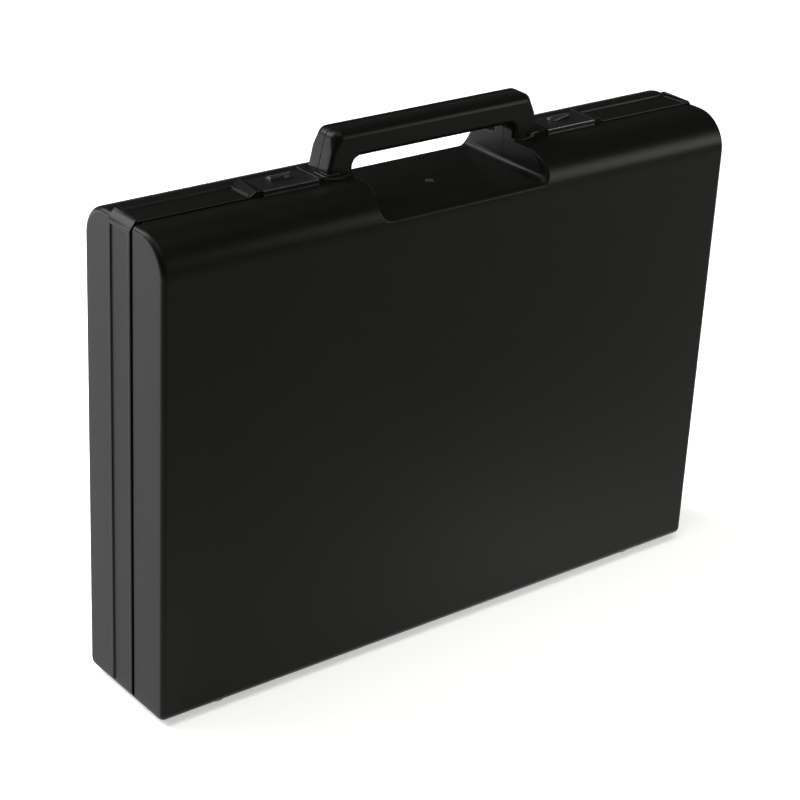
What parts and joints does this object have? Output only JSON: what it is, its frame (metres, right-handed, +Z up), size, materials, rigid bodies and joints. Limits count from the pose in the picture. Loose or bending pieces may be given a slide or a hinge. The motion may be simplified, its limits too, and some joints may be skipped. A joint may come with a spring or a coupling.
{
  "type": "transit case",
  "caption": "Black moulded plastic carrying case, standing on its hinged edge, with a split handle over a recess, sliding latches, feet and foam linings.",
  "frame": {"origin": "middle of the footprint, on the surface that the four feet stand on", "axes": "+X along the case's width to the right seen from the front, -Y out of the lid's large face (the front), +Z up through the handle"},
  "size_m": [0.3786, 0.0734, 0.2985],
  "materials": {
    "shell": "fine moulded texture, black",
    "latch": "smooth, slightly glossy black",
    "pin": "drawn steel wire",
    "foot": "matt black",
    "foam": "open-cell foam, dark grey"
  },
  "bodies": {
    "base": {"base_shell": "shell", "hinge_pin_left": "pin", "hinge_pin_right": "pin", "base_foot_left": "foot", "base_foot_right": "foot", "base_foam": "foam"},
    "lid": {"lid_shell": "shell", "lid_foot_left": "foot", "lid_foot_right": "foot", "lid_foam": "foam"},
    "latch_left": {"latch_left": "latch"},
    "latch_right": {"latch_right": "latch"}
  },
  "joints": [
    {"name": "lid_hinge", "type": "hinge", "parent": "base", "child": "lid", "pos_m": [0, -0.0076, 0.0026], "axis": [1, 0, 0], "range_deg": [0, 150]},
    {"name": "latch_left_slide", "type": "slide", "parent": "base", "child": "latch_left", "axis": [0, 1, 0], "range_m": [0, 0.006]},
    {"name": "latch_right_slide", "type": "slide", "parent": "base", "child": "latch_right", "axis": [0, 1, 0], "range_m": [0, 0.006]}
  ]
}
